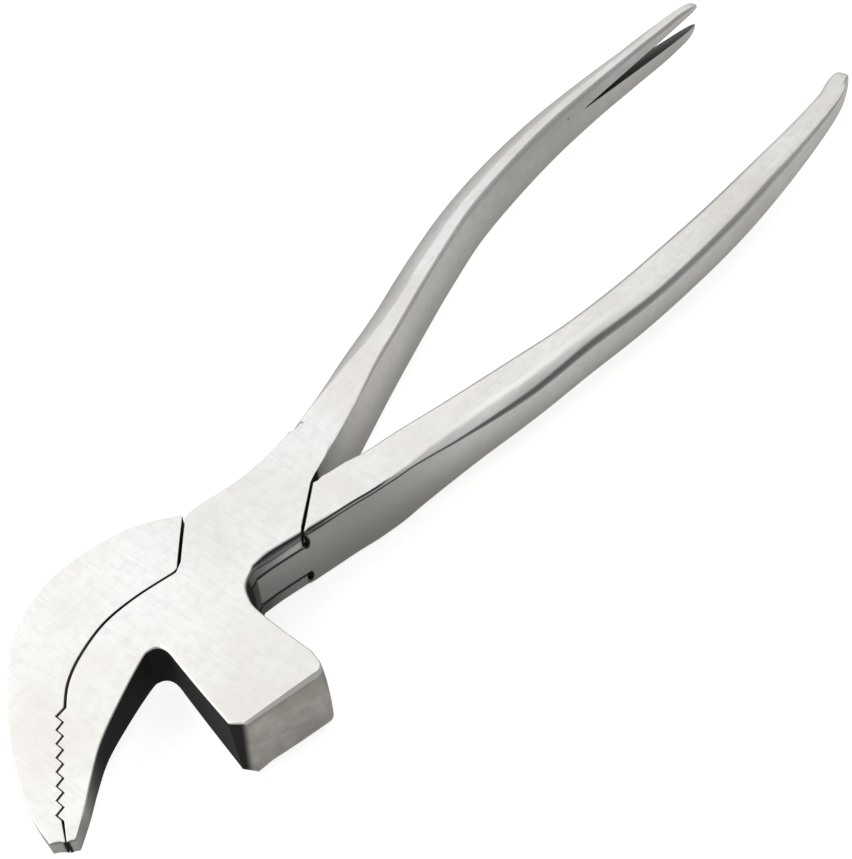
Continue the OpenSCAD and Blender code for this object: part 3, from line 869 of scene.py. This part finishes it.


# Steel colours and strengths: shade, crease and the near-black colour are painted shade, ridge a painted highlight,
# face and faceDark the striking face's tone, partly painted shade; lower, boxSide, aside, notch and slot set how much
# painted shade goes on
steelLook = {
    "light": (0.80, 0.795, 0.78), "dark": (0.66, 0.652, 0.635), "warm": (0.74, 0.715, 0.68),
    "shade": (0.30, 0.29, 0.275), "paintedShade": (0.005, 0.0048, 0.0046), "face": (0.46, 0.44, 0.41),
    "faceDark": (0.33, 0.305, 0.275), "crease": (0.085, 0.082, 0.078), "ridge": (0.94, 0.935, 0.92),
    "pit": (0.12, 0.115, 0.11),
    "lower": 0.75, "boxSide": 0.75, "handleDarkening": 0.38, "aside": 0.24, "notch": 0.99, "slot": 0.88,
    "roughness": 0.36, "brush": 0.10, "mottle": 0.08, "bump": 0.00003, "glint": 0.25,
    "specks": [
        (-17.3, 16.5, 9.3), (-53.1, -11.6, 7.6), (56.6, 15.3, 9), (110.8, 18.7, 9), (17.8, 6.8, 13), (20.7, 6.4, 13),
    ],
    "nick": (19.4, 6.75, 13.0),
}
# Where painted shade goes: middle and radius in millimetres, how soft, and how it is squeezed
steelSpots = {
    "boxSide": ((4, -10, middle), 38, 0.75, (1, 1.6, 1)), "flankLine": ((0, -8, 12.4), 12, 0.5),
    "tips": ((*lipEnd, middle), 5, 0.4, (1, 1, 0.5)), "lip": ((*lipEnd, middle), 0.55, 0.5, (1, 1, 0.0)),
    "notch": ((-25, -10, middle), 28, 0.5), "root": ((-9.3, -10.8, middle), 5.2, 0.35, (1, 1, 0.4)),
    "upperGap": ((4.5, -8.6, 10.7), 1.4, 0.4, (1.9, 1, 0.8)), "lowerGap": ((4.3, -8.6, 2.2), 1.2, 0.4, (1.9, 1, 0.8)),
    "crotch": ((13.6, -2.7, middle), 1.5, 0.6, (1, 1, 0.0)), "edgeLine": ((6, -9, 12.6), 26, 0.6),
}
faceSlant = 0.24  # fall of the striking face from left to right


def groundSteel(name, look):
    # satin ground steel: mottled head, brushed handles, polished edges, with painted highlight on the handles' ridges
    # and painted shade on the walls, along the edges and in recesses
    bench = Bench(bpy.data.materials.new(name))
    place = bench.object()
    x, y, z = (bench.split(place, axis) for axis in range(3))
    normal = bench.add("TexCoord", out=1)
    facing = bench.split(normal, 2).maths("ABSOLUTE")
    wall, turned = bench.span(facing, 0.5, 0.3), bench.span(facing, 0.9, 0.7)
    edgeWearAndShade, gap, crease, ridge = (bench.mark(label) for label in markLabels)
    near = {key: bench.near(place, *spot) for key, spot in steelSpots.items()}

    # the ground itself, with the grain across the head and along the handles
    onHandle = bench.reach(x, 12, 34)
    cloud = bench.noise(place, 16, 3)
    mottle = bench.noise(place, 1.6, 4, 0.6)
    fine = bench.noise(place, 0.35, 3, 0.6)
    brush = bench.noise(place, 0.5, 3, 0.6, (0.05, 1, 1))
    brushWide = bench.noise(place, 2.2, 3, 0.6, (0.08, 1, 1))
    cross = bench.noise(place, 0.4, 3, 0.6, (1, 0.06, 1))
    grain = brush * onHandle + cross * (1 - onHandle)
    colour = bench.mix(bench.span(cloud, 0.35, 0.7), look["light"], look["warm"])
    colour = bench.mix(bench.span(mottle, 0.42, 0.75, 0.0, 0.6), colour, look["dark"])
    colour = bench.mix(bench.span(grain, 0.4, 0.75, 0.0, 0.55), colour, look["dark"])
    # the handles darker away from the head
    colour = bench.mix(bench.reach(x, 30, 100, smooth=False) * look["handleDarkening"], colour, look["dark"], "MULTIPLY")
    # painted highlight along the handles' ridge rows
    lit = ridge.maths("MAXIMUM", 0.0) * bench.span(mottle, 0.3, 0.6, 0.6, 1.0)
    colour = bench.mix(lit, colour, look["ridge"])

    # painted shade: the walls darker towards the floor, on the box joint's side, on the handles' sides and at the tips;
    # the striking face's own browner tone, partly painted shade; painted dark lines along the edges
    lower = bench.reach(z, 10.5, 1.5) * wall * bench.reach(x, 90, 150, 1.0, 0.4)
    colour = bench.mix(lower * look["lower"], colour, look["shade"])
    cheek = bench.reach(z, 9.6, 10) * bench.reach(x, 4.7, 4.5)  # above the tongue, where it is lighter
    boxSide = near["boxSide"] * wall * look["boxSide"] * (1 - cheek * 0.5)
    colour = bench.mix(boxSide, colour, look["shade"])
    slanted = y + x * faceSlant
    stain = bench.span(bench.noise(place, 5, 4, 0.65), 0.35, 0.65)
    # the striking face: its own browner tone with stains, darker partly as painted shade
    onFace = bench.reach(slanted, -28.6, -29.6) * wall
    colour = bench.mix(onFace * 0.9, colour, bench.mix(stain, look["face"], look["faceDark"]))
    # painted shade: the flank's chamfer near the joint darkened towards the dark line colour
    colour = bench.mix(near["flankLine"] * edgeWearAndShade * 0.75, colour, look["crease"])
    aside = bench.reach(x, 38, 75) * bench.span(facing, 0.75, 0.5) * bench.reach(y, -4, 0)
    colour = bench.mix(aside * look["aside"], colour, look["shade"])
    colour = bench.mix(near["tips"] * turned * 0.75, colour, look["shade"])
    # painted shade: dark lines along the creases and edge bands
    colour = bench.mix(crease * 0.9, colour, look["crease"])

    # painted shade, near black: in the notch, at the hammer's root, in the seams and gaps, in the slot, at the crotch
    # and along the edge line
    inNotch = near["notch"] * wall * bench.reach(slanted, -30.1, -29.2)  # none on the striking face
    inNotch = inNotch * bench.span(bench.split(normal, 1), 0.75, 0.45)  # nor in the mouth
    fromSlot = bench.vector("SUBTRACT", place, tuple(slotPlace.translation))
    along, across = (bench.vector("DOT_PRODUCT", fromSlot, tuple(slotPlace.col[k][:3]), out=1) for k in (0, 1))
    fromWall = (across.maths("ABSOLUTE") - along * slope).maths("ABSOLUTE")
    slotWall = bench.reach(fromWall, 0.10, 0.05) * bench.reach(along, 0.0, 0.5)
    fromMiddle = (z - middle * mm).maths("ABSOLUTE")
    fromSeam = (fromMiddle - (jointSizes["tongue"] + jointSizes["joint"]) / 2 * mm).maths("ABSOLUTE")
    seamLine = bench.reach(fromSeam, 0.42, 0.18) * wall * bench.reach(x, 4.7, 4.4)
    seamLine = seamLine * bench.reach(x, -9, -7) * bench.reach(y, -5, -6)
    gap = gap * bench.reach(fromMiddle, 3.4, 4.6, 0.45, 0.97)
    paintedShade = crease * crease * near["edgeLine"] * 0.8 + inNotch * look["notch"] + near["root"] * wall * 0.97
    paintedShade = paintedShade + near["lip"] * turned + slotWall * look["slot"] + seamLine * 0.9 + gap
    paintedShade = paintedShade + (near["upperGap"] + near["lowerGap"]) + near["crotch"] * turned * 0.8
    paintedShade = paintedShade.maths("MULTIPLY", 1.0, clamp=True)
    colour = bench.mix(paintedShade, colour, look["paintedShade"])

    pits = bench.near(place, look["nick"], 0.75, 0.6, (0.4, 1.6, 1))
    for speck in look["specks"]:
        pits = pits + bench.near(place, speck, 0.45, 0.8)
    pits = pits.maths("MULTIPLY", 0.75, clamp=True)
    colour = bench.mix(pits, colour, look["pit"])

    rough = look["roughness"] + (mottle - 0.5) * look["mottle"] + (grain - 0.5) * look["brush"]
    rough = rough + (brushWide - 0.5) * (onHandle * 0.12) + wall * 0.04 + pits * 0.2 - edgeWearAndShade * 0.06 + paintedShade * 0.35
    height = grain * 0.6 + fine * 0.5 + mottle * 0.8 + brushWide * onHandle * 1.2
    bump = bench.add("Bump", {}, {"Strength": 0.35, "Distance": look["bump"], "Height": height})
    shader = bench.add("BsdfPrincipled", {}, {
        "Base Color": colour, "Metallic": 1 - paintedShade * 0.95, "Roughness": rough, "Specular IOR Level": look["glint"],
        "Normal": bump,
    })
    bench.add("OutputMaterial", {}, {"Surface": shader})
    return bench.owner


steels = {
    "hammer_half_steel": groundSteel("hammerHalfSteel", {**steelLook, "boxSide": 0.95}),
    "jaw_half_steel": groundSteel("jawHalfSteel", {**steelLook, "notch": 0.2}),
    "rivet_steel": groundSteel("rivetSteel", steelLook),
}
for obj, node, body, slot in (
    (hammerHalf, "hammer_half", "hammer_half", "hammer_half_steel"),
    (jawHalf, "jaw_half", "jaw_half", "jaw_half_steel"),
):
    obj.data.materials.clear()
    obj.data.materials.append(steels[slot])
    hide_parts(node)
    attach(obj, body)
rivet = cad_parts["pivot_rivet"]
for entry in rivet.material_slots:
    entry.material = steels["rivet_steel"]
if not rivet.material_slots:
    rivet.data.materials.append(steels["rivet_steel"])
print("steel put on")

# Floor, light and camera
studio = {
    "floor": (0.72, 0.72, 0.71), "floorDust": (0.66, 0.66, 0.65),
    "whiteForCamera": 0.75, "whiteForGloss": 0.25, "world": 0.16, "worldForGloss": 0.42,
    "softBox": {"toward": (0.52, 0.47, 0.74), "distance": 1.0, "size": 1.7, "power": 6.5},
    "leftBox": {"toward": (-0.60, 0.62, 0.50), "distance": 1.2, "size": 1.2, "power": 8.0},
    "overhead": {"toward": (-0.12, -0.10, 0.95), "distance": 1.0, "size": 0.6, "power": 1.1},
    "aim": (0.04, -0.005, 0.006), "cameraAt": (-92.86, -124.19, 211.11), "lens": 69.30,
}

bench = Bench(bpy.data.materials.new("paleFloor"))
rays = {k: bench.add("LightPath", out=n) for k, n in (("camera", 0), ("gloss", 3), ("through", 6))}
seen = rays["camera"] * studio["whiteForCamera"] + rays["gloss"] * studio["whiteForGloss"]
seen = seen.maths("ADD", rays["through"] * studio["whiteForCamera"], clamp=True)
dust = bench.noise(bench.object(), 40, 3)
floorColour = bench.mix(bench.span(dust, 0.3, 0.7, 0.0, 0.1), studio["floor"], studio["floorDust"])
matt = bench.add("BsdfDiffuse", {}, {"Color": floorColour})
white = bench.add("Emission", {}, {"Color": (1, 1, 1, 1), "Strength": 1.0})
glow = bench.add("MixShader", {}, {0: seen, 2: white})
both = bench.add("AddShader", {}, {0: matt, 1: glow})
bench.add("OutputMaterial", {}, {"Surface": both})
work = bmesh.new()
bmesh.ops.create_grid(work, x_segments=8, y_segments=8, size=2.5)
mesh = bpy.data.meshes.new("floor")
work.to_mesh(mesh)
work.free()
mesh.transform(Matrix.Translation((0, 0, -0.00002)))  # just under the pliers
floor = placed("floor", mesh)
floor.data.materials.append(bench.owner)

bench = Bench(bpy.data.worlds.new("studio"))
bpy.context.scene.world = bench.owner
strengths = (studio["world"], studio["worldForGloss"], 1.0)
plain, gloss, seen = (bench.add("Background", {}, {0: (1, 1, 1, 1), 1: value}) for value in strengths)
light = bench.add("MixShader", {}, {0: bench.add("LightPath", out=3), 1: plain, 2: gloss})
light = bench.add("MixShader", {}, {0: bench.add("LightPath", out=0), 1: light, 2: seen})
bench.add("OutputWorld", {}, {0: light})

for name in ("softBox", "leftBox", "overhead"):
    look = studio[name]
    data = bpy.data.lights.new(name, "AREA")
    data.shape, data.size, data.size_y, data.energy = "RECTANGLE", look["size"], look["size"], look["power"]
    lamp = placed(name, data)
    way = Vector(look["toward"]).normalized()
    lamp.location = Vector(studio["aim"]) + way * look["distance"]
    lamp.rotation_euler = way.to_track_quat("Z", "Y").to_euler()
    lamp.visible_camera = False

data = bpy.data.cameras.new("camera")
data.sensor_fit, data.sensor_width, data.lens = "HORIZONTAL", 36, studio["lens"]
data.clip_start, data.clip_end = 0.01, 10
camera = placed("camera", data)
turned = Matrix(((0.626924, 0.615192, -0.478022), (-0.777279, 0.452202, -0.437438), (-0.052946, 0.645796, 0.761672)))
camera.rotation_mode = "QUATERNION"
camera.rotation_quaternion = turned.to_quaternion()
camera.location = tuple(c * mm for c in studio["cameraAt"])
bpy.context.scene.camera = camera
bpy.context.scene.view_settings.view_transform = "Standard"
print("studio set")
